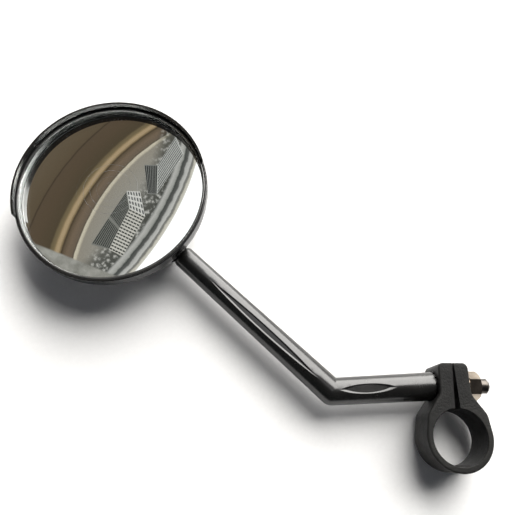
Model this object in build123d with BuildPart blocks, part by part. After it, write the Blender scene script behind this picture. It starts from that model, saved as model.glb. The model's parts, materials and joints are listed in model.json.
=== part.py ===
from build123d import *
import math
import os

# Bicycle handlebar mirror: a split clamp, a bent one-piece arm, a ball joint and a round convex mirror.
# The origin is the centre of the handlebar bore. +Y runs along the bore, away from the rider, so the
# mirror faces -Y. +Z is up, and the arm leaves the clamp along -X and then rises to the mirror head.

os.makedirs("parts", exist_ok=True)

# ---- driving dimensions, millimetres and degrees ----
bar_radius = 10.5            # bore with the slit nearly closed; it springs open on a 22.2 mm handlebar
clamp_width = 15.5
clamp_wall = 2.3
ear_top = 27.9
ear_half_top = 5.9           # half width across both ears at the top
ear_half_root = 6.15         # half width across both ears where they meet the flare
ear_root = 15.9
flare_half = 11.6            # half width of the flare at its shoulder
flare_height = 8.4
slit_half_top = 0.3
slit_half_ring = 1.2
seat_face = 5.9              # distance of each ear's bolt face from the middle plane

bolt_height = 19.8
stud_radius = 2.95           # M6
stud_tip = 16.3
stud_length = 37.0
running_gap = 0.05
washer_thickness = 1.0
tooth_washer_thickness = 0.7
nut_across_flats = 10.0
nut_thickness = 5.0
nut_turn = 8.0               # rest angle of the nut about its bolt

elbow = Vector(-47.0, 0, 17.0)
ball_centre = Vector(-115.0, 0, 78.2)
arm_radius_elbow = 5.35
arm_radius_tip = 4.6
arm_radius_clamp = 5.6
leaf_depth = 0.68            # from a recess's mouth plane, just off the arm, to its floor
leaf_slope = 2.0             # how far a recess's sides run in for each millimetre of depth
leaf_roll = 6.0              # how far the upper recess faces down from the arm's front
arm_end_drop = 0.3           # the arm's own centre line ends this far below the bolt
arm_tip_gap = 8.2            # from the ball's centre to the arm's end face

ball_radius = 5.4
neck_radius = 2.9
shank_radius = 2.5
shank_length = 13.0

seat_inner = ball_radius + 0.04
seat_outer = 5.95
pocket_radius = seat_outer + running_gap

head_turn = 4.7              # the head is turned this much about the vertical
ball_in_head = Vector(22.3, -18.2, -14.3)   # the ball's centre, from the middle of the rim's front plane
rim_radius = 40.1
rim_step_radius = 39.2
glass_radius = 38.7
lip_inner_radius = 38.15
lip_thickness = 0.9
wall = 1.3
rim_wall_height = 3.5
shoulder_radius = 9.0
head_depth = 15.3
glass_thickness = 2.1
glass_curve = 300.0          # radius of the convex front surface
cushion_thickness = 1.0
visor_height = 3.2
visor_start = 18.5           # angle of the visor's right end in the rim's plane
visor_lean = 0.1
visor_thickness = 0.9

cap_back = 7.2               # the socket's plan is drawn on the plane through the ball's centre
cap_plate = 2.6
boss_radius = 7.4
screw_spots = [(-3.2, 9.9), (-3.2, -9.9), (-13.5, 0.0)]
screw_pad_radius = 3.4
spring_pocket_radius = 3.5
spring_pocket_depth = 6.4

# ---- frames ----
turn = math.radians(head_turn)
head_x = Vector(math.cos(turn), -math.sin(turn), 0)
head_z = Vector(-math.sin(turn), -math.cos(turn), 0)
head_y = Vector(0, 0, 1)
head_centre = ball_centre - head_x * ball_in_head.X - head_y * ball_in_head.Y - head_z * ball_in_head.Z
head = Plane(origin=head_centre, x_dir=head_x, z_dir=head_z)
head_axis = Axis(head_centre, head_z)

to_ball = (ball_centre - elbow).normalized()
upper_length = (ball_centre - elbow).length - arm_tip_gap
clamp_end = Vector(-seat_face - running_gap - tooth_washer_thickness, 0, bolt_height - arm_end_drop)
to_clamp = (clamp_end - elbow).normalized()
lower_length = (clamp_end - elbow).length

upper_arm = Plane(origin=elbow, x_dir=(0, 1, 0), z_dir=to_ball)
lower_arm = Plane(origin=elbow, x_dir=(0, 1, 0), z_dir=to_clamp)
bolt = Plane(origin=(0, 0, bolt_height), x_dir=(0, 1, 0), z_dir=(1, 0, 0))
bolt_section = Plane(origin=(0, 0, bolt_height), x_dir=(1, 0, 0), z_dir=(0, -1, 0))
bolt_axis = Axis((0, 0, bolt_height), (1, 0, 0))

# The socket's x axis points along the arm, as seen square to the mirror.
arm_in_head = (to_ball * -1 - head_z * (to_ball * -1).dot(head_z)).normalized()
socket = Plane(origin=ball_centre, x_dir=arm_in_head, z_dir=head_z)
socket_section = Plane(origin=ball_centre, x_dir=arm_in_head, z_dir=socket.y_dir * -1)
socket_axis = Axis(ball_centre, head_z)

glass_centre = -1.0 - math.sqrt(glass_curve**2 - glass_radius**2)
rising = (Align.CENTER, Align.CENTER, Align.MIN)


def head_section(angle):
    """The plane through the head's axis at this angle; x is outward and y is towards the rider."""
    outward = head_x * math.cos(math.radians(angle)) + head_y * math.sin(math.radians(angle))
    across = head_z.cross(outward)
    return Plane(origin=head_centre, x_dir=outward, z_dir=across * -1)


def on_glass(radius, depth):
    """A point of the glass's section, this far behind its convex front surface."""
    return (radius, glass_centre + math.sqrt((glass_curve - depth) ** 2 - radius**2))


shelf_top = on_glass(glass_radius, glass_thickness + cushion_thickness)[1]
pad_top = on_glass(14, glass_thickness + cushion_thickness)[1]


def save(piece, name):
    piece.label = name
    export_step(piece, f"parts/{name}.step")


# ---- clamp ----
def make_handlebar_clamp():
    ring_radius = bar_radius + clamp_wall
    flare_reach = math.hypot(flare_half, flare_height)
    touch = math.atan2(flare_height, flare_half) - math.acos(ring_radius / flare_reach)
    right_side = [
        (ring_radius * math.cos(touch), ring_radius * math.sin(touch)),
        (flare_half, flare_height),
        (ear_half_root, ear_root),
        (ear_half_top, ear_top),
    ]
    left_side = [(-x, z) for x, z in reversed(right_side)]
    with BuildPart() as clamp:
        with BuildSketch(Plane.XZ) as outline:
            with BuildLine():
                Polyline(*right_side, *left_side, close=True)
            make_face()
            fillet(outline.vertices().group_by(Axis.Y)[-1], radius=2.2)
            fillet(outline.vertices().filter_by(lambda v: abs(v.Y - ear_root) < 0.01), radius=5.0)
            fillet(outline.vertices().filter_by(lambda v: abs(v.Y - flare_height) < 0.01), radius=5.0)
            Circle(ring_radius)
        extrude(amount=clamp_width / 2, both=True)
        by_depth = clamp.faces().sort_by(Axis.Y)
        fillet(by_depth[0].edges() + by_depth[-1].edges(), radius=0.7)
        with BuildSketch(Plane.XZ):
            Circle(bar_radius)
        extrude(amount=clamp_width, both=True, mode=Mode.SUBTRACT)
        circles = clamp.edges().filter_by(GeomType.CIRCLE)
        rims = circles.filter_by(lambda edge: abs(edge.radius - bar_radius) < 0.01)
        chamfer(rims, length=0.25)
        with BuildSketch(Plane.XZ):
            with BuildLine():
                Polyline(
                    (-slit_half_ring, 8),
                    (slit_half_ring, 8),
                    (slit_half_top, ear_top + 1),
                    (-slit_half_top, ear_top + 1),
                    close=True,
                )
            make_face()
        extrude(amount=clamp_width, both=True, mode=Mode.SUBTRACT)
        with BuildSketch(bolt.offset(-20)):
            Circle(stud_radius + 0.25)
        extrude(amount=40, mode=Mode.SUBTRACT)
        for side in (-1, 1):
            with BuildSketch(bolt.offset(side * seat_face)):
                Circle(6.4)
            extrude(amount=side * 4, mode=Mode.SUBTRACT)
    save(clamp.part, "handlebar_clamp")


# ---- fasteners on the bolt axis ----
def make_clamp_stud():
    with BuildPart() as clamp_stud:
        with BuildSketch(bolt.offset(stud_tip - stud_length)):
            Circle(stud_radius)
        extrude(amount=stud_length)
        chamfer(clamp_stud.edges().filter_by(GeomType.CIRCLE), length=0.8)
    save(clamp_stud.part, "clamp_stud")


def make_arm_insert():
    length = 12.0
    with BuildPart() as arm_insert:
        with BuildSketch(bolt.offset(clamp_end.X - length - 0.4)):
            Circle(4.0)
            Circle(stud_radius, mode=Mode.SUBTRACT)
        extrude(amount=length)
        with BuildSketch(bolt.offset(clamp_end.X - length / 2 - 1.4)):
            Circle(4.5)
            Circle(3.5, mode=Mode.SUBTRACT)
        extrude(amount=2, mode=Mode.SUBTRACT)
    save(arm_insert.part, "arm_insert")


def make_tooth_washer():
    with BuildPart() as tooth_washer:
        with BuildSketch(bolt.offset(clamp_end.X)):
            Circle(5.6)
            Circle(stud_radius + 0.2, mode=Mode.SUBTRACT)
            with PolarLocations(5.6, 14):
                Rectangle(1.6, 0.9, mode=Mode.SUBTRACT)
        extrude(amount=tooth_washer_thickness)
    save(tooth_washer.part, "tooth_washer")


def make_nut_washer():
    with BuildPart() as nut_washer:
        with BuildSketch(bolt.offset(seat_face)):
            Circle(6.0)
            Circle(stud_radius + 0.25, mode=Mode.SUBTRACT)
        extrude(amount=washer_thickness)
        fillet(nut_washer.faces().sort_by(Axis.X)[-1].outer_wire().edges(), radius=0.25)
    save(nut_washer.part, "nut_washer")


def make_clamp_nut():
    corner = nut_across_flats / math.sqrt(3)
    start = seat_face + washer_thickness + running_gap
    end = start + nut_thickness
    bevel = corner - nut_across_flats / 2
    with BuildPart() as clamp_nut:
        with BuildSketch(bolt.offset(start)):
            RegularPolygon(radius=corner, side_count=6, rotation=30 + nut_turn)
            Circle(stud_radius + running_gap, mode=Mode.SUBTRACT)
        extrude(amount=nut_thickness)
        with BuildSketch(bolt_section):
            with BuildLine():
                Polyline(
                    (start, 0),
                    (start, corner - bevel),
                    (start + bevel * 0.6, corner),
                    (end - bevel * 0.6, corner),
                    (end, corner - bevel),
                    (end, 0),
                    close=True,
                )
            make_face()
        revolve(axis=bolt_axis, mode=Mode.INTERSECT)
    save(clamp_nut.part, "clamp_nut")


# ---- arm ----
def leaf_outline(plane, start, finish, half_width):
    """Two arcs that meet in points on the plane's own x axis."""
    middle = (start + finish) / 2
    with BuildSketch(plane) as leaf:
        with BuildLine():
            ThreePointArc((start, 0), (middle, half_width), (finish, 0))
            ThreePointArc((finish, 0), (middle, -half_width), (start, 0))
        make_face()
    return leaf.sketch


def cut_leaf(frame, start, finish, half_width, tip_inset):
    """A shallow leaf-shaped recess on the arm's face that looks at the rider, with a flat floor.

    start and finish are the recess's two points: distance along the arm, height over the arm's centre line.
    Its sides slope in to a floor whose points lie tip_inset further in.
    """
    first = frame.from_local_coords(Vector(-start[1], 0, start[0]))
    last = frame.from_local_coords(Vector(-finish[1], 0, finish[0]))
    run = last - first
    mouth = Plane(origin=first, x_dir=run, z_dir=run.cross(frame.y_dir))
    floor = mouth.offset(-leaf_depth)
    top = leaf_outline(mouth, 0, run.length, half_width)
    bottom = leaf_outline(floor, tip_inset, run.length - tip_inset, half_width - leaf_depth * leaf_slope)
    loft([top.face(), bottom.face()], ruled=True, mode=Mode.SUBTRACT)


def make_mirror_arm():
    spare = 2.0
    with BuildPart() as arm:
        with Locations(upper_arm.location):
            Cone(arm_radius_elbow, arm_radius_tip, upper_length, align=rising)
        fillet(arm.edges().sort_by(Axis.Z)[-1], radius=1.8)
        with Locations(lower_arm.location):
            Cone(arm_radius_elbow, arm_radius_clamp, lower_length + spare, align=rising)
        with Locations(elbow):
            Sphere(arm_radius_elbow)
        split(bisect_by=Plane(origin=clamp_end, z_dir=(-1, 0, 0)), keep=Keep.TOP)
        facing = Vector(0, 1, 0).rotate(Axis((0, 0, 0), to_ball), -leaf_roll)
        upper_face = Plane(origin=elbow, x_dir=facing, z_dir=to_ball)
        cut_leaf(upper_face, (4.4, arm_radius_elbow + 0.15), (68.6, arm_radius_tip + 0.34), 2.19, 9.2)
        cut_leaf(lower_arm, (1.4, arm_radius_elbow + 0.2), (25.6, arm_radius_elbow + 0.27), 2.88, 3.2)
        with BuildSketch(bolt.offset(clamp_end.X)):
            Circle(4.0)
        extrude(amount=-12.4, mode=Mode.SUBTRACT)
        with BuildSketch(bolt.offset(clamp_end.X)):
            Circle(stud_radius + 0.1)
        extrude(amount=-16, mode=Mode.SUBTRACT)
        with BuildSketch(upper_arm.offset(upper_length)):
            Circle(shank_radius + 0.06)
        extrude(amount=-shank_length - 1, mode=Mode.SUBTRACT)
    save(arm.part, "mirror_arm")


# ---- ball joint ----
def make_ball_stud():
    down_arm = to_ball * -1
    section = Plane(origin=ball_centre, x_dir=down_arm, z_dir=(0, -1, 0))
    neck_start = math.sqrt(ball_radius**2 - neck_radius**2)
    neck_end = arm_tip_gap - 0.1
    with BuildPart() as ball_stud:
        with BuildSketch(section):
            with BuildLine():
                ball = ThreePointArc((-ball_radius, 0), (0, ball_radius), (neck_start, neck_radius))
                Polyline(
                    ball @ 1,
                    (neck_end, neck_radius),
                    (neck_end, shank_radius),
                    (neck_end + shank_length, shank_radius),
                    (neck_end + shank_length, 0),
                    ball @ 0,
                )
            make_face()
        revolve(axis=Axis(ball_centre, down_arm))
    save(ball_stud.part, "ball_stud")


def make_ball_seat(name, side):
    """A nylon cup over one pole of the ball; side is 1 for the mirror's side and -1 for the back."""
    inner_edge = math.radians(11)
    outer_edge = math.radians(40)
    middle = (inner_edge + outer_edge) / 2

    def on(radius, angle):
        return (radius * math.sin(angle), side * radius * math.cos(angle))

    with BuildPart() as ball_seat:
        with BuildSketch(socket_section):
            with BuildLine():
                ThreePointArc(on(seat_inner, inner_edge), on(seat_inner, middle), on(seat_inner, outer_edge))
                Line(on(seat_inner, outer_edge), on(seat_outer, outer_edge))
                ThreePointArc(on(seat_outer, outer_edge), on(seat_outer, middle), on(seat_outer, inner_edge))
                Line(on(seat_outer, inner_edge), on(seat_inner, inner_edge))
            make_face()
        revolve(axis=socket_axis)
    save(ball_seat.part, name)


def sketch_cap_outline(growth):
    """The socket's plan: a round boss on the ball and one pad for each screw."""
    with Locations((0, 0)):
        Circle(boss_radius + growth)
    with Locations(*screw_spots):
        Circle(screw_pad_radius + growth)
    make_hull()


def mouth_outline():
    """The side view of the mouth that the arm's neck swings and tilts in; it opens outwards."""
    with BuildSketch(socket_section) as mouth:
        with BuildLine():
            Polyline((0.8, -3.3), (0.8, 3.3), (6.5, 4.0), (8.4, 6.0), (14, 6.9), (14, -9.2), close=True)
        make_face()
    return mouth.sketch


def make_socket_cap():
    with BuildPart() as socket_cap:
        with BuildSketch(socket):
            sketch_cap_outline(0)
        extrude(amount=-cap_plate)
        with BuildSketch(socket):
            Circle(boss_radius)
        extrude(amount=-cap_back)
        fillet(socket_cap.faces().sort_by(socket_axis)[0].edges(), radius=2.4)
        with Locations(ball_centre):
            Sphere(pocket_radius, mode=Mode.SUBTRACT)
        extrude(mouth_outline(), amount=9, both=True, mode=Mode.SUBTRACT)
        with BuildSketch(socket):
            Circle(spring_pocket_radius)
        extrude(amount=-spring_pocket_depth, mode=Mode.SUBTRACT)
        with BuildSketch(socket):
            with Locations(*screw_spots):
                Circle(1.65)
        extrude(amount=-cap_plate, mode=Mode.SUBTRACT)
    save(socket_cap.part, "socket_cap")


def make_seat_spring():
    """A disc spring behind the back seat keeps the ball's grip steady."""
    with BuildPart() as seat_spring:
        with BuildSketch(socket_section):
            with BuildLine():
                Polyline((1.4, -6.1), (3.3, -5.6), (3.3, -5.85), (1.4, -6.35), close=True)
            make_face()
        revolve(axis=socket_axis)
    save(seat_spring.part, "seat_spring")


def make_cap_screw(name, spot):
    head_radius = 2.7
    head_height = 1.9
    thread_radius = 1.45
    thread_length = 5.5
    under_head = -cap_plate
    screw_centre = socket.from_local_coords(Vector(spot[0], spot[1], 0))
    frame = Plane(origin=screw_centre, x_dir=socket.x_dir, z_dir=head_z)
    with BuildPart() as cap_screw:
        with BuildSketch(frame.offset(under_head - head_height)):
            Circle(head_radius)
        extrude(amount=head_height)
        fillet(cap_screw.faces().sort_by(socket_axis)[0].edges(), radius=0.9)
        with BuildSketch(frame.offset(under_head)):
            Circle(thread_radius)
        extrude(amount=cap_plate + thread_length)
        chamfer(cap_screw.faces().sort_by(socket_axis)[-1].edges(), length=0.6)
        with BuildSketch(frame.offset(under_head - head_height)):
            Rectangle(3.0, 0.7)
            Rectangle(0.7, 3.0)
        extrude(amount=1.2, mode=Mode.SUBTRACT)
    save(cap_screw.part, name)


# ---- mirror head ----
def dome_profile(inset):
    """Half of the shell's section: rim wall, rounded shoulder and shallow domed back."""
    centre_x = rim_radius - shoulder_radius
    centre_y = -rim_wall_height
    rise = head_depth - rim_wall_height
    back_radius = (centre_x**2 + rise**2 - shoulder_radius**2) / (2 * (rise - shoulder_radius))
    back_centre = back_radius - head_depth
    small = shoulder_radius - inset
    big = back_radius - inset
    lean = math.atan2(centre_x, back_centre - centre_y)
    meet = (big * math.sin(lean), back_centre - big * math.cos(lean))
    half_lean = lean / 2
    half_way = (big * math.sin(half_lean), back_centre - big * math.cos(half_lean))
    side_angle = (math.pi / 2 - lean) / 2
    side = (centre_x + small * math.cos(side_angle), centre_y - small * math.sin(side_angle))
    Line((0, 0), (rim_radius - inset, 0))
    Line((rim_radius - inset, 0), (rim_radius - inset, centre_y))
    ThreePointArc((rim_radius - inset, centre_y), side, meet)
    ThreePointArc(meet, half_way, (0, back_centre - big))
    Line((0, back_centre - big), (0, 0))


def make_mirror_housing():
    shelf_inner = 34.0
    post_radius = 14.5
    landing_height = 6.9
    mouth_roof = 8.2
    with BuildPart() as housing:
        with BuildSketch(head_section(0)):
            with BuildLine():
                dome_profile(0)
            make_face()
        revolve(axis=head_axis)
        fillet(housing.edges().sort_by(head_axis)[-1], radius=0.5)
        with BuildSketch(socket):
            sketch_cap_outline(0.3)
        extrude(amount=landing_height)
        with BuildSketch(head_section(0)):
            with BuildLine():
                dome_profile(wall)
            make_face()
        revolve(axis=head_axis, mode=Mode.SUBTRACT)
        with BuildSketch(head):
            Circle(rim_step_radius)
        extrude(amount=-lip_thickness - 0.05, mode=Mode.SUBTRACT)
        with BuildSketch(head.offset(shelf_top)):
            Circle(rim_radius - wall)
            Circle(shelf_inner, mode=Mode.SUBTRACT)
        extrude(amount=-1.5)
        with BuildSketch(head.offset(pad_top)):
            Circle(post_radius)
            Circle(post_radius - 1.8, mode=Mode.SUBTRACT)
        extrude(amount=-head_depth + 1.2 - pad_top)
        with BuildSketch(head.offset(pad_top)):
            Circle(post_radius)
        extrude(amount=-1.6)
        with BuildSketch(socket):
            sketch_cap_outline(0)
        extrude(amount=landing_height)
        with BuildSketch(socket):
            with Locations((2.6, 0)):
                Circle(7.2)
        extrude(amount=mouth_roof)
        with BuildSketch(socket):
            sketch_cap_outline(0.3)
        extrude(amount=-8, mode=Mode.SUBTRACT)
        for spoke in range(6):
            with BuildSketch(head_section(spoke * 60 + 15)):
                with BuildLine():
                    Polyline(
                        (post_radius - 0.9, -13.6),
                        (post_radius - 0.9, -6.3),
                        (shelf_inner + 1, -6.3),
                        (shelf_inner + 3, -8.6),
                        (shelf_inner - 2, -11.6),
                        close=True,
                    )
                make_face()
            extrude(amount=0.7, both=True)
        with Locations(ball_centre):
            Sphere(pocket_radius, mode=Mode.SUBTRACT)
        extrude(mouth_outline(), amount=9, both=True, mode=Mode.SUBTRACT)
        with BuildSketch(socket):
            with Locations(*screw_spots):
                Circle(1.5)
        extrude(amount=6, mode=Mode.SUBTRACT)
        with BuildSketch(head_section(visor_start)):
            with BuildLine():
                Polyline(
                    (rim_radius - visor_thickness, -0.5),
                    (rim_radius, -0.5),
                    (rim_radius - visor_lean, visor_height),
                    (rim_radius - visor_lean - visor_thickness, visor_height),
                    close=True,
                )
            make_face()
        revolve(axis=head_axis, revolution_arc=180)
    save(housing.part, "mirror_housing")


def make_retaining_ring():
    outer = rim_step_radius - 0.05
    with BuildPart() as retaining_ring:
        with BuildSketch(head.offset(-lip_thickness)):
            Circle(outer)
            Circle(lip_inner_radius, mode=Mode.SUBTRACT)
        extrude(amount=lip_thickness)
        fillet(retaining_ring.faces().sort_by(head_axis)[-1].edges(), radius=0.35)
    save(retaining_ring.part, "retaining_ring")


def make_mirror_glass():
    half = glass_radius / 2
    with BuildPart() as mirror_glass:
        with BuildSketch(head_section(0)):
            with BuildLine():
                front = ThreePointArc(on_glass(0, 0), on_glass(half, 0), on_glass(glass_radius, 0))
                back = ThreePointArc(
                    on_glass(0, glass_thickness),
                    on_glass(half, glass_thickness),
                    on_glass(glass_radius, glass_thickness),
                )
                Line(front @ 1, back @ 1)
                Line(back @ 0, front @ 0)
            make_face()
        revolve(axis=head_axis)
        chamfer(mirror_glass.edges().filter_by(GeomType.CIRCLE), length=0.3)
    save(mirror_glass.part, "mirror_glass")


def make_glass_backing(name, inner_radius, outer_radius, seat):
    """Foam that follows the glass's back surface between two radii and lies flat on its seat."""
    middle = (inner_radius + outer_radius) / 2
    with BuildPart() as backing:
        with BuildSketch(head_section(0)):
            with BuildLine():
                top = ThreePointArc(
                    on_glass(inner_radius, glass_thickness),
                    on_glass(middle, glass_thickness),
                    on_glass(outer_radius, glass_thickness),
                )
                Polyline(top @ 1, (outer_radius, seat), (inner_radius, seat), top @ 0)
            make_face()
        revolve(axis=head_axis)
    save(backing.part, name)


make_handlebar_clamp()
make_clamp_stud()
make_arm_insert()
make_tooth_washer()
make_nut_washer()
make_clamp_nut()
make_mirror_arm()
make_ball_stud()
make_ball_seat("ball_seat_front", 1)
make_ball_seat("ball_seat_back", -1)
make_socket_cap()
make_seat_spring()
for number, spot in enumerate(screw_spots, start=1):
    make_cap_screw(f"cap_screw_{number}", spot)
make_mirror_housing()
make_retaining_ring()
make_mirror_glass()
make_glass_backing("glass_cushion", 34.4, 37.6, shelf_top)
make_glass_backing("adhesive_pad", 0, 14.0, pad_top)
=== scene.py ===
import json
import math

import bpy
from mathutils import Matrix, Vector


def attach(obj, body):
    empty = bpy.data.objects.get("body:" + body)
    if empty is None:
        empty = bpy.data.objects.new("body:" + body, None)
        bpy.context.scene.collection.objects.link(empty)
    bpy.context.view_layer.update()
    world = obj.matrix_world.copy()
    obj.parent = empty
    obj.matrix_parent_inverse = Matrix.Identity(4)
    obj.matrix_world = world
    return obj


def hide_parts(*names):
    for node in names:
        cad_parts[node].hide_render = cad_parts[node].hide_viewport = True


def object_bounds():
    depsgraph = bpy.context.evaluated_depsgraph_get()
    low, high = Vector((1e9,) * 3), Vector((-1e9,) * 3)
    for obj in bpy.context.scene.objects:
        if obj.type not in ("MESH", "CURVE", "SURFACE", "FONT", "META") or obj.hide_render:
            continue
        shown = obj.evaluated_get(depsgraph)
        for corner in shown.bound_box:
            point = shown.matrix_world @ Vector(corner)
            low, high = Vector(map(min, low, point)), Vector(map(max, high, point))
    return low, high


MM = 0.001

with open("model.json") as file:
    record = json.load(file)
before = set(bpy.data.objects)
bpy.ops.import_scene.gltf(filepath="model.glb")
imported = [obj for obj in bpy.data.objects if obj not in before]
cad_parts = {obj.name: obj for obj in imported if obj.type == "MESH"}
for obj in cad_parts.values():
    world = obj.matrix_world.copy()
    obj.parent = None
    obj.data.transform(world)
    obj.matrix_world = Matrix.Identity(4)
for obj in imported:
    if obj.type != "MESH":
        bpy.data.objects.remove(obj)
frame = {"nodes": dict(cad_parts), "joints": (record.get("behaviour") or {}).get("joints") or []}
nodes = frame["nodes"]
cad_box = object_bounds()
joints = {joint["name"]: joint for joint in frame["joints"]}

# ---- the head's own frame: x to the right, y up, z out of the mirror, origin at the rim's front plane ----
ball_x, ball_y, ball_z = 22.3, -18.2, -14.3  # the ball's centre in the head's frame, mm
BALL = Vector(joints["head_swing"]["pos_m"])
HEAD_Z = Vector(joints["head_swing"]["axis"]).normalized()
HEAD_Y = Vector((0, 0, 1))
HEAD_X = HEAD_Y.cross(HEAD_Z).normalized()
HEAD = BALL - (HEAD_X * ball_x + HEAD_Y * ball_y + HEAD_Z * ball_z) * MM
HEAD_MATRIX = Matrix((HEAD_X, HEAD_Y, HEAD_Z)).transposed().to_4x4()
HEAD_MATRIX.translation = HEAD

# ---- the mirror glass, in millimetres of the head's frame ----
GLASS_RADIUS = 38.7
GLASS_CURVE = 300.0
GLASS_THICKNESS = 2.1
GLASS_BEVEL = 0.3
GLASS_RECESS = 1.0  # how far the front's edge sits behind the rim's front plane
GLASS_CENTRE = -GLASS_RECESS - math.sqrt(GLASS_CURVE**2 - GLASS_RADIUS**2)  # the curve's centre along z
GLASS_RINGS = 56
GLASS_SEGMENTS = 256

# ---- the camera, in the part's frame ----
CAMERA = Vector((-88.14, -215.8, -4.13)) * MM
CAMERA_RIGHT = Vector((0.9984, -0.0560, 0.0070))
CAMERA_UP = Vector((-0.0252, -0.3325, 0.9427))
SENSOR_WIDTH = 36.0  # mm
LENS_RATIO = 1.04466  # focal length over the sensor's width

BLACK_TO_WHITE = [(0.0, (0, 0, 0)), (1.0, (1, 1, 1))]
WHITE_TO_BLACK = [(0.0, (1, 1, 1)), (1.0, (0, 0, 0))]

# A Mix node has sockets for several kinds of value. These are the ones for colours.
MIX_FACTOR, MIX_FIRST, MIX_SECOND, MIX_RESULT = 0, 6, 7, 2


# ---- shader helpers ----
class Shader:
    """A material and short calls that add and join its nodes."""

    def __init__(self, name):
        self.material = bpy.data.materials.new(name)
        self.material.use_nodes = True
        self.tree = self.material.node_tree
        self.tree.nodes.clear()
        self.out = self.add("ShaderNodeOutputMaterial")

    def add(self, kind, **settings):
        node = self.tree.nodes.new(kind)
        for name, value in settings.items():
            setattr(node, name, value)
        return node

    def link(self, source, target):
        self.tree.links.new(source, target)

    def feed(self, socket, value):
        if isinstance(value, bpy.types.NodeSocket):
            self.link(value, socket)
        else:
            socket.default_value = value

    def principled(self, **values):
        node = self.add("ShaderNodeBsdfPrincipled")
        for name, value in values.items():
            self.feed(node.inputs[name.replace("_", " ")], value)
        self.link(node.outputs["BSDF"], self.out.inputs["Surface"])
        return node

    def glow(self, colour):
        emission = self.add("ShaderNodeEmission")
        self.link(colour, emission.inputs["Color"])
        self.link(emission.outputs["Emission"], self.out.inputs["Surface"])
        return self.material

    def place(self, scale=(1, 1, 1)):
        coordinates = self.add("ShaderNodeTexCoord")
        mapping = self.add("ShaderNodeMapping")
        mapping.inputs["Scale"].default_value = scale
        self.link(coordinates.outputs["Object"], mapping.inputs["Vector"])
        return mapping.outputs["Vector"]

    def split(self, vector):
        node = self.add("ShaderNodeSeparateXYZ")
        self.link(vector, node.inputs[0])
        return node.outputs[0], node.outputs[1], node.outputs[2]

    def noise(self, vector, scale, detail, roughness=0.55):
        node = self.add("ShaderNodeTexNoise")
        node.inputs["Scale"].default_value = scale
        node.inputs["Detail"].default_value = detail
        node.inputs["Roughness"].default_value = roughness
        self.link(vector, node.inputs["Vector"])
        return node.outputs["Fac"]

    def cells(self, vector, scale):
        node = self.add("ShaderNodeTexVoronoi")
        node.inputs["Scale"].default_value = scale
        self.link(vector, node.inputs["Vector"])
        return node.outputs["Distance"]

    def ramp(self, value, stops):
        node = self.add("ShaderNodeValToRGB")
        elements = node.color_ramp.elements
        while len(elements) < len(stops):
            elements.new(0.5)
        for element, (position, colour) in zip(elements, stops):
            element.position = position
            element.color = (*colour, 1)
        self.link(value, node.inputs["Fac"])
        return node.outputs["Color"]

    def math(self, operation, first, second=0.0):
        node = self.add("ShaderNodeMath", operation=operation)
        self.feed(node.inputs[0], first)
        self.feed(node.inputs[1], second)
        return node.outputs[0]

    def span(self, value, low, high, new_low=0.0, new_high=1.0):
        """Maps the values from low to high onto those from new_low to new_high."""
        node = self.add("ShaderNodeMapRange")
        self.link(value, node.inputs["Value"])
        node.inputs["From Min"].default_value = low
        node.inputs["From Max"].default_value = high
        node.inputs["To Min"].default_value = new_low
        node.inputs["To Max"].default_value = new_high
        return node.outputs["Result"]

    def mix(self, factor, first, second, blend="MIX"):
        node = self.add("ShaderNodeMix", data_type="RGBA", blend_type=blend)
        self.feed(node.inputs[MIX_FACTOR], factor)
        self.feed(node.inputs[MIX_FIRST], first)
        self.feed(node.inputs[MIX_SECOND], second)
        return node.outputs[MIX_RESULT]

    def bump(self, height, strength, distance):
        node = self.add("ShaderNodeBump")
        node.inputs["Strength"].default_value = strength
        node.inputs["Distance"].default_value = distance
        self.link(height, node.inputs["Height"])
        return node.outputs["Normal"]


# ---- materials of the CAD pieces ----
def plastic(name, dark, light, polish, grain, depth, relief=0.25, coat=0.0, shine=0.5):
    """Moulded plastic: faint cloudy tone, uneven polish, fine surface grain and sparse dust."""
    s = Shader(name)
    where = s.place()
    cloud = s.noise(where, scale=60, detail=4)
    fine = s.noise(where, scale=grain, detail=3)
    dust = s.noise(where, scale=2600, detail=2, roughness=0.7)
    tone = s.ramp(cloud, [(0.3, dark), (0.75, light)])
    speck = s.ramp(dust, [(0.72, (0, 0, 0)), (0.80, (0.05, 0.05, 0.05))])
    s.principled(
        Base_Color=s.mix(1.0, tone, speck, "ADD"),
        Roughness=s.span(s.noise(where, scale=140, detail=5, roughness=0.6), 0.3, 0.7, *polish),
        Normal=s.bump(fine, relief, depth),
        Specular_IOR_Level=shine,
        Coat_Weight=coat,
        Coat_Roughness=0.12,
    )
    return s.material


def metal(name, dark, light, polish, stretch, depth):
    """Machined steel or brass: fine turning lines, stained tone and uneven roughness."""
    s = Shader(name)
    lines = s.noise(s.place(stretch), scale=900, detail=4, roughness=0.65)
    stain = s.noise(s.place(), scale=180, detail=4)
    s.principled(
        Base_Color=s.ramp(stain, [(0.3, dark), (0.7, light)]),
        Metallic=1.0,
        Roughness=s.span(lines, 0.25, 0.75, *polish),
        Normal=s.bump(lines, 0.3, depth),
    )
    return s.material


def foam():
    """Dark grey closed-cell foam."""
    s = Shader("closed_cell_foam")
    cells = s.cells(s.place(), scale=2200)
    colour = s.ramp(cells, [(0.0, (0.10, 0.10, 0.105)), (0.6, (0.19, 0.19, 0.20))])
    s.principled(Base_Color=colour, Roughness=0.9, Normal=s.bump(cells, 0.4, 0.0003))
    return s.material


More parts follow.
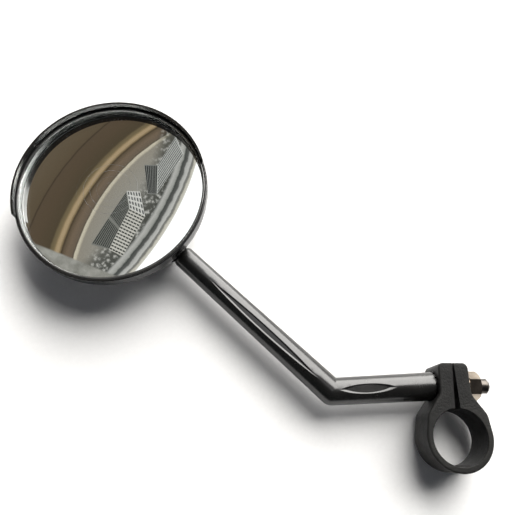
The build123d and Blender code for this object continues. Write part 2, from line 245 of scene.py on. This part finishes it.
gloss_arm = plastic(
    "arm_plastic",
    dark=(0.005, 0.005, 0.0048),
    light=(0.012, 0.0115, 0.0105),
    polish=(0.20, 0.28),
    grain=900,
    depth=0.00003,
    shine=0.62,
)
gloss_head = plastic(
    "head_plastic",
    dark=(0.004, 0.004, 0.0045),
    light=(0.010, 0.0098, 0.0095),
    polish=(0.16, 0.30),
    grain=900,
    depth=0.00004,
    coat=0.1,
)
matte_clamp = plastic(
    "clamp_plastic",
    dark=(0.004, 0.004, 0.004),
    light=(0.020, 0.0195, 0.018),
    polish=(0.46, 0.68),
    grain=1500,
    depth=0.0003,
    relief=0.6,
    shine=0.22,
)
ring_plastic = plastic(
    "ring_plastic",
    dark=(0.03, 0.03, 0.03),
    light=(0.07, 0.07, 0.068),
    polish=(0.10, 0.22),
    grain=900,
    depth=0.00004,
    coat=0.8,
)
nylon = plastic(
    "seat_nylon",
    dark=(0.60, 0.59, 0.54),
    light=(0.72, 0.71, 0.66),
    polish=(0.40, 0.50),
    grain=900,
    depth=0.00004,
)
nut_steel = metal(
    "nut_steel",
    dark=(0.20, 0.165, 0.13),
    light=(0.46, 0.39, 0.31),
    polish=(0.12, 0.22),
    stretch=(1, 0.15, 0.15),
    depth=0.00003,
)
stud_steel = metal(
    "stud_steel",
    dark=(0.035, 0.032, 0.03),
    light=(0.10, 0.09, 0.08),
    polish=(0.26, 0.40),
    stretch=(1, 0.2, 0.2),
    depth=0.00004,
)
black_steel = metal(
    "screw_steel",
    dark=(0.018, 0.018, 0.019),
    light=(0.04, 0.039, 0.038),
    polish=(0.34, 0.50),
    stretch=(1, 1, 1),
    depth=0.00003,
)
brass = metal(
    "insert_brass",
    dark=(0.48, 0.33, 0.13),
    light=(0.66, 0.48, 0.22),
    polish=(0.28, 0.42),
    stretch=(1, 0.2, 0.2),
    depth=0.00004,
)
soft_foam = foam()

FINISH = {
    "handlebar_clamp": matte_clamp,
    "mirror_arm": gloss_arm,
    "mirror_housing": gloss_head,
    "retaining_ring": ring_plastic,
    "socket_cap": gloss_head,
    "ball_seat_front": nylon,
    "ball_seat_back": nylon,
    "clamp_nut": nut_steel,
    "nut_washer": nut_steel,
    "tooth_washer": black_steel,
    "clamp_stud": stud_steel,
    "ball_stud": stud_steel,
    "cap_screw_1": black_steel,
    "cap_screw_2": black_steel,
    "cap_screw_3": black_steel,
    "seat_spring": black_steel,
    "arm_insert": brass,
    "glass_cushion": soft_foam,
    "adhesive_pad": soft_foam,
}


def paint(piece, *materials):
    piece.data.materials.clear()
    for material in materials:
        piece.data.materials.append(material)


for name, material in FINISH.items():
    paint(nodes[name], material)


# ---- meshes ----
def new_mesh(name, points, faces, smooth_angle=None):
    mesh = bpy.data.meshes.new(name)
    mesh.from_pydata([tuple(p) for p in points], [], faces)
    mesh.validate()
    piece = bpy.data.objects.new(name, mesh)
    bpy.context.scene.collection.objects.link(piece)
    if smooth_angle is not None:
        mesh.shade_smooth()
        mesh.set_sharp_from_angle(angle=math.radians(smooth_angle))
    return piece


def lathe(name, profile, matrix, segments, smooth_angle=30):
    """Turns a profile of (radius, height) pairs in millimetres about the matrix's z axis.
    A radius of 0 at either end closes on the axis. Returns the piece, and for each face the
    number of the profile's step that it belongs to."""
    points = []
    rings = []
    for radius, height in profile:
        if radius == 0:
            rings.append([len(points)])
            points.append(matrix @ Vector((0, 0, height * MM)))
            continue
        ring = []
        for i in range(segments):
            angle = 2 * math.pi * i / segments
            x = radius * MM * math.cos(angle)
            y = radius * MM * math.sin(angle)
            ring.append(len(points))
            points.append(matrix @ Vector((x, y, height * MM)))
        rings.append(ring)
    faces = []
    steps = []
    for step in range(len(rings) - 1):
        lower, upper = rings[step], rings[step + 1]
        for i in range(segments):
            j = (i + 1) % segments
            if len(lower) == 1:
                faces.append((lower[0], upper[i], upper[j]))
            elif len(upper) == 1:
                faces.append((lower[i], upper[0], lower[j]))
            else:
                faces.append((lower[i], upper[i], upper[j], lower[j]))
            steps.append(step)
    return new_mesh(name, points, faces, smooth_angle), steps


# ---- mirror glass: clear glass, a silvered back and a ground edge ----
def clear_glass():
    s = Shader("mirror_clear_glass")
    smear = s.noise(s.place(), scale=90, detail=5, roughness=0.6)
    s.principled(
        Base_Color=(0.965, 0.985, 0.975, 1),
        Roughness=s.span(smear, 0.45, 0.75, 0.0, 0.02),
        Transmission_Weight=1.0,
        IOR=1.5,
    )
    return s.material


def silver():
    s = Shader("mirror_silver")
    haze = s.noise(s.place(), scale=50, detail=4)
    colour = s.ramp(haze, [(0.3, (0.86, 0.87, 0.86)), (0.7, (0.90, 0.905, 0.895))])
    s.principled(Base_Color=colour, Metallic=1.0, Roughness=0.0)
    return s.material


def ground_edge():
    """Chipped white on the side towards the left and below; everywhere else painted dark as shade, where
    the visor shades it.
    """
    lit_x, lit_z = -0.97, -0.26  # the direction from the glass's middle in which the edge is white and unshaded; away from it the edge gets painted shade
    s = Shader("mirror_ground_edge")
    where = s.place()
    chips = s.noise(where, scale=1400, detail=5, roughness=0.75)
    x, _, z = s.split(where)
    leftward = s.math("MULTIPLY", s.math("SUBTRACT", x, HEAD.x), lit_x / (GLASS_RADIUS * MM))
    downward = s.math("MULTIPLY", s.math("SUBTRACT", z, HEAD.z), lit_z / (GLASS_RADIUS * MM))
    lit = s.span(s.math("ADD", leftward, downward), 0.55, 0.88)
    bright = s.ramp(chips, [(0.35, (0.55, 0.56, 0.57)), (0.55, (0.96, 0.97, 0.98))])
    # painted shade: the edge darkened where the visor shades it, with a few chips still showing white
    painted_shade_edge = s.ramp(
        chips,
        [(0.45, (0.015, 0.016, 0.017)), (0.62, (0.05, 0.052, 0.055)), (0.70, (0.6, 0.6, 0.6))],
    )
    s.principled(
        Base_Color=s.mix(lit, painted_shade_edge, bright),
        Roughness=0.6,
        Normal=s.bump(chips, 0.6, 0.0002),
    )
    return s.material


def glass_height(radius, depth):
    """Height of the surface that lies this deep in the glass, at this distance from its middle."""
    return GLASS_CENTRE + math.sqrt((GLASS_CURVE - depth) ** 2 - radius**2)


def make_glass():
    """One closed turned piece, with a material each for its front, its edge and its back."""
    flat_radius = GLASS_RADIUS - GLASS_BEVEL
    radii = [flat_radius * i / GLASS_RINGS for i in range(GLASS_RINGS + 1)]
    front = [(radius, glass_height(radius, 0)) for radius in radii]
    back = [(radius, glass_height(radius, GLASS_THICKNESS)) for radius in reversed(radii)]
    rim = [
        (GLASS_RADIUS, glass_height(GLASS_RADIUS, 0) - GLASS_BEVEL),
        (GLASS_RADIUS, glass_height(GLASS_RADIUS, GLASS_THICKNESS) + GLASS_BEVEL),
    ]
    piece, steps = lathe("mirror_glass_visual", front + rim + back, HEAD_MATRIX, GLASS_SEGMENTS)
    paint(piece, clear_glass(), silver(), ground_edge())
    for polygon, step in zip(piece.data.polygons, steps):
        if step >= len(front) + len(rim):
            polygon.material_index = 1
        elif step >= len(front) - 1:
            polygon.material_index = 2
    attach(piece, "head")
    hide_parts("mirror_glass")


make_glass()


# ---- backdrop ----
def paper():
    """Pale matte paper that shows only its front, so the object can be seen from behind."""
    s = Shader("paper")
    fibre = s.noise(s.place(), scale=700, detail=4, roughness=0.6)
    surface = s.principled(
        Base_Color=s.ramp(fibre, [(0.3, (0.90, 0.90, 0.90)), (0.7, (0.93, 0.93, 0.93))]),
        Roughness=0.85,
        Normal=s.bump(fibre, 0.08, 0.0003),
        Specular_IOR_Level=0.2,
    )
    clear = s.add("ShaderNodeBsdfTransparent")
    side = s.add("ShaderNodeNewGeometry")
    mixed = s.add("ShaderNodeMixShader")
    s.link(side.outputs["Backfacing"], mixed.inputs[0])
    s.link(surface.outputs["BSDF"], mixed.inputs[1])
    s.link(clear.outputs["BSDF"], mixed.inputs[2])
    s.link(mixed.outputs["Shader"], s.out.inputs["Surface"])
    return s.material


def make_backdrop():
    """A wall of paper just behind the object, and a floor below it that curves up to the wall.
    The floor adds no light of its own to the object."""
    reach = 2.5
    wall_y = cad_box[1][1] + 0.0012
    floor_y = wall_y - 0.0002
    floor_z = cad_box[0][2] - 0.09
    cove = 0.06
    cove_steps = 12

    top = [(-reach, wall_y, reach), (reach, wall_y, reach)]
    bottom = [(reach, wall_y, -reach), (-reach, wall_y, -reach)]
    wall = new_mesh("paper_wall", top + bottom, [(0, 3, 2, 1)])

    points = []
    for i in range(cove_steps + 1):
        angle = math.pi / 2 * i / cove_steps
        y = floor_y - cove + cove * math.cos(angle)
        z = floor_z + cove - cove * math.sin(angle)
        points += [(-reach, y, z), (reach, y, z)]
    points += [(-reach, -reach, floor_z), (reach, -reach, floor_z)]
    faces = [(k, k + 2, k + 3, k + 1) for k in range(0, len(points) - 2, 2)]
    floor = new_mesh("paper_floor", points, faces, 40)
    floor.visible_diffuse = False
    floor.visible_glossy = False

    material = paper()
    for piece in (wall, floor):
        paint(piece, material)
        piece.visible_shadow = False


make_backdrop()


# ---- scenery for the mirror, in disc coordinates: u to the right, v up, 1 at the glass's edge ----
def mirror_point(u, v):
    """The point of the mirror's front surface at u, v, and its normal."""
    x, y = u * GLASS_RADIUS, v * GLASS_RADIUS
    z = GLASS_CENTRE + math.sqrt(GLASS_CURVE**2 - x * x - y * y)
    normal = (HEAD_X * x + HEAD_Y * y + HEAD_Z * (z - GLASS_CENTRE)).normalized()
    return HEAD_MATRIX @ (Vector((x, y, z)) * MM), normal


def street_point(u, v, reach):
    """Where the scenery stands that the mirror shows at u, v."""
    point, normal = mirror_point(u, v)
    sight = (point - CAMERA).normalized()
    bounced = sight - normal * (2 * sight.dot(normal))
    return point + bounced * reach


def street_card(name, outline, cells, reach, material):
    """A card of scenery that covers the four-sided outline of disc coordinates, given anticlockwise.
    It has this many cells across and up. Only mirror-like surfaces see it."""
    columns, rows = cells
    a, b, c, d = [Vector(corner) for corner in outline]
    points = []
    uvs = []
    for j in range(rows + 1):
        for i in range(columns + 1):
            s, t = i / columns, j / rows
            spot = (a * (1 - s) + b * s) * (1 - t) + (d * (1 - s) + c * s) * t
            points.append(street_point(spot.x, spot.y, reach))
            uvs.append((spot.x, spot.y, s, t))
    faces = []
    for j in range(rows):
        for i in range(columns):
            k = j * (columns + 1) + i
            faces.append((k, k + 1, k + columns + 2, k + columns + 1))
    card = new_mesh(name, points, faces)
    disc = card.data.uv_layers.new(name="disc")
    own = card.data.uv_layers.new(name="own")
    for loop in card.data.loops:
        u, v, s, t = uvs[loop.vertex_index]
        disc.data[loop.index].uv = (u, v)
        own.data[loop.index].uv = (s, t)
    paint(card, material)
    card.visible_camera = False
    card.visible_diffuse = False
    card.visible_shadow = False


# The building's ledges are bands along a circle, as far outside it as low to high.
LEDGE_CENTRE = (2.12, -1.24)
LEDGE_RADIUS = 2.70
LEDGE_LOW = -0.50
LEDGE_HIGH = 0.70
LEDGE_BANDS = [
    (0.000, (0.36, 0.345, 0.31)),
    (0.195, (0.34, 0.31, 0.26)),
    (0.211, (0.64, 0.58, 0.46)),
    (0.230, (0.74, 0.67, 0.53)),
    (0.237, (0.055, 0.042, 0.028)),
    (0.247, (0.17, 0.13, 0.095)),
    (0.300, (0.20, 0.145, 0.10)),
    (0.340, (0.13, 0.095, 0.060)),
    (0.352, (0.055, 0.040, 0.025)),
    (0.366, (0.26, 0.185, 0.10)),
    (0.378, (0.46, 0.34, 0.20)),
    (0.400, (0.50, 0.37, 0.22)),
    (0.414, (0.38, 0.275, 0.15)),
    (0.424, (0.22, 0.165, 0.09)),
    (0.455, (0.17, 0.13, 0.072)),
    (0.468, (0.085, 0.064, 0.038)),
    (0.600, (0.105, 0.074, 0.046)),
    (0.702, (0.110, 0.078, 0.050)),
    (0.712, (0.042, 0.030, 0.020)),
    (0.724, (0.120, 0.088, 0.054)),
    (1.000, (0.155, 0.118, 0.078)),
]
WALL_STAIN = (0.085, 0.075, 0.062, 1)

# Inside the skyline's circle lie the road along it and the town below the road. Outside is sky.
SKYLINE_CENTRE = (-1.86, 0.84)
SKYLINE_RADIUS = 2.813
TOWN_MASK = [
    (0.0, (0, 0, 0)),
    (0.4, (0.7, 0.7, 0.7)),
    (0.95, (0.85, 0.85, 0.85)),
    (1.0, (0, 0, 0)),
]
ROOF_TONES = [
    (0.1, (0.60, 0.59, 0.56)),
    (0.35, (0.22, 0.22, 0.21)),
    (0.5, (0.05, 0.055, 0.05)),
    (0.8, (0.03, 0.034, 0.03)),
]
ROAD_LANES = [
    (0.00, (0.28, 0.28, 0.27)),
    (0.10, (0.50, 0.49, 0.47)),
    (0.26, (0.36, 0.36, 0.34)),
    (0.32, (0.07, 0.075, 0.07)),
    (0.46, (0.12, 0.12, 0.115)),
    (0.52, (0.46, 0.455, 0.44)),
    (0.64, (0.56, 0.55, 0.53)),
    (0.69, (0.20, 0.20, 0.19)),
    (0.75, (0.24, 0.23, 0.21)),
    (0.80, (0.60, 0.57, 0.50)),
    (0.92, (0.68, 0.64, 0.57)),
    (0.98, (1.3, 1.3, 1.3)),
]
SKY_COLOUR = (1.5, 1.52, 1.55, 1)

# Paved ground lies below a sloping straight line.
PAVING_SLOPE = 0.40
PAVING_TONES = [(0.35, (0.24, 0.235, 0.21)), (0.65, (0.38, 0.37, 0.34))]


def outside_ring(s, u, v, centre, radius):
    """How far a place on the disc lies outside a circle."""
    x = s.math("SUBTRACT", u, centre[0])
    y = s.math("SUBTRACT", v, centre[1])
    square = s.math("ADD", s.math("MULTIPLY", x, x), s.math("MULTIPLY", y, y))
    return s.math("SUBTRACT", s.math("SQRT", square), radius)


def street_material():
    """A curved brown building with tan ledges, then a town, a road and a bright sky, and paved ground
    in front of them."""
    s = Shader("street")
    disc = s.add("ShaderNodeUVMap", uv_map="disc").outputs["UV"]
    u, v, _ = s.split(disc)
    rough = s.noise(disc, scale=9, detail=5, roughness=0.6)

    ledge = outside_ring(s, u, v, LEDGE_CENTRE, LEDGE_RADIUS)
    uneven = s.math("ADD", ledge, s.span(rough, 0.0, 1.0, -0.008, 0.008))
    bands = s.ramp(s.span(uneven, LEDGE_LOW, LEDGE_HIGH), LEDGE_BANDS)
    stain = s.span(s.noise(disc, scale=95, detail=3, roughness=0.75), 0.35, 0.7, 0.0, 0.34)
    building = s.mix(stain, bands, WALL_STAIN)

    skyline = outside_ring(s, u, v, SKYLINE_CENTRE, SKYLINE_RADIUS)
    ragged = s.span(s.noise(disc, scale=38, detail=4, roughness=0.8), 0.3, 0.7, -0.35, 0.35)
    roofs = s.ramp(s.math("ADD", s.cells(disc, scale=21), ragged), ROOF_TONES)
    town = s.mix(s.ramp(s.span(skyline, -0.50, -0.20), TOWN_MASK), building, roofs)

    streaked = s.math("ADD", skyline, s.span(rough, 0.0, 1.0, -0.02, 0.02))
    lanes = s.ramp(s.span(streaked, -0.22, 0.02), ROAD_LANES)
    street = s.mix(s.ramp(s.span(skyline, -0.23, -0.21), BLACK_TO_WHITE), town, lanes)

    above = s.mix(s.ramp(s.span(skyline, -0.01, 0.006), BLACK_TO_WHITE), street, SKY_COLOUR)

    paving_line = s.math("ADD", v, s.math("MULTIPLY", u, PAVING_SLOPE))
    paved = s.ramp(s.span(paving_line, -0.92, -0.90), WHITE_TO_BLACK)
    return s.glow(s.mix(paved, above, s.ramp(rough, PAVING_TONES)))


def window_grid(name, windows, post_colour, pane_colour, post_width):
    """A building's face with this many windows across and up, between lighter posts."""
    columns, rows = windows
    s = Shader(name)
    own = s.add("ShaderNodeUVMap", uv_map="own").outputs["UV"]
    grid = s.add("ShaderNodeTexBrick", offset=0.0, squash=1.0)
    s.link(own, grid.inputs["Vector"])
    lighter_pane = [part * 1.8 for part in pane_colour]
    settings = {
        "Scale": 1.0,
        "Brick Width": 1 / columns,
        "Row Height": 1 / rows,
        "Mortar Size": post_width,
        "Mortar Smooth": 0.3,
        "Color1": (*pane_colour, 1),
        "Color2": (*lighter_pane, 1),
        "Mortar": (*post_colour, 1),
    }
    for socket, value in settings.items():
        grid.inputs[socket].default_value = value
    return s.glow(grid.outputs["Color"])


def make_street():
    """One far card for the ground, the curved building and the sky, and nearer cards for two towers."""
    far, near = 3.2, 3.0  # metres from the glass
    whole_disc = [(-1.2, -1.2), (1.2, -1.2), (1.2, 1.2), (-1.2, 1.2)]
    street_card("street", whole_disc, (48, 48), far, street_material())
    street_card(
        "tower_1_front",
        [(0.05, -0.69), (0.197, -0.76), (0.40, -0.32), (0.23, -0.235)],
        (8, 12),
        near,
        window_grid("grid_front", (5, 14), (0.62, 0.60, 0.55), (0.035, 0.037, 0.035), 0.022),
    )
    street_card(
        "tower_1_side",
        [(-0.14, -0.635), (0.05, -0.69), (0.23, -0.235), (0.185, -0.035)],
        (8, 12),
        near,
        window_grid("banded_side", (9, 2), (0.22, 0.22, 0.20), (0.02, 0.022, 0.022), 0.030),
    )
    street_card(
        "tower_1_roof",
        [(0.23, -0.235), (0.40, -0.32), (0.327, -0.04), (0.185, -0.035)],
        (6, 6),
        near,
        window_grid("grid_roof", (5, 4), (0.70, 0.69, 0.66), (0.10, 0.10, 0.10), 0.05),
    )
    street_card(
        "tower_2_front",
        [(0.505, -0.07), (0.762, 0.435), (0.66, 0.66), (0.49, 0.285)],
        (8, 10),
        near,
        window_grid("slatted_front", (1, 9), (0.55, 0.55, 0.53), (0.05, 0.052, 0.05), 0.035),
    )
    street_card(
        "tower_2_side",
        [(0.412, -0.065), (0.505, -0.07), (0.49, 0.285), (0.345, 0.285)],
        (8, 10),
        near,
        window_grid("slatted_side", (7, 1), (0.24, 0.24, 0.23), (0.03, 0.032, 0.03), 0.030),
    )


make_street()


# ---- light ----
def area_light(name, place, target, size, power, colour=(1, 1, 1)):
    lamp = bpy.data.lights.new(name, "AREA")
    lamp.shape = "RECTANGLE"
    lamp.size, lamp.size_y = size
    lamp.energy = power
    lamp.color = colour
    holder = bpy.data.objects.new(name, lamp)
    bpy.context.scene.collection.objects.link(holder)
    holder.location = place
    holder.rotation_euler = (Vector(target) - Vector(place)).to_track_quat("-Z", "Y").to_euler()


def make_lights():
    """A large warm window above, in front and to the right, and a weak fill from behind."""
    middle = Vector((-0.06, 0.0, 0.05))
    to_window = Vector((0.33, -0.52, 0.79)) * 4.5
    area_light("window", middle + to_window, middle, (4.4, 6.2), 840.0, (1.0, 0.982, 0.95))
    area_light("back_fill", (0.2, 1.6, 0.9), middle, (1.6, 1.6), 30.0)


make_lights()


def make_world():
    """Pale to the camera and dim to everything else."""
    dim_room = (0.068, 0.07, 0.076, 1)
    pale_room = (0.95, 0.95, 0.95, 1)
    world = bpy.data.worlds.new("studio")
    bpy.context.scene.world = world
    world.use_nodes = True
    tree = world.node_tree
    path = tree.nodes.new("ShaderNodeLightPath")
    mix = tree.nodes.new("ShaderNodeMix")
    mix.data_type = "RGBA"
    mix.inputs[MIX_FIRST].default_value = dim_room
    mix.inputs[MIX_SECOND].default_value = pale_room
    tree.links.new(path.outputs["Is Camera Ray"], mix.inputs[MIX_FACTOR])
    tree.links.new(mix.outputs[MIX_RESULT], tree.nodes["Background"].inputs["Color"])


make_world()


# ---- camera ----
def make_camera():
    data = bpy.data.cameras.new("camera")
    data.sensor_width = SENSOR_WIDTH
    data.lens = LENS_RATIO * SENSOR_WIDTH
    data.clip_start = 0.005
    data.clip_end = 20
    camera = bpy.data.objects.new("camera", data)
    bpy.context.scene.collection.objects.link(camera)
    back = CAMERA_RIGHT.cross(CAMERA_UP)
    turn = Matrix((CAMERA_RIGHT, CAMERA_UP, back)).transposed().to_4x4()
    turn.translation = CAMERA
    camera.matrix_world = turn
    bpy.context.scene.camera = camera


make_camera()

view = bpy.context.scene.view_settings
view.view_transform = "Standard"
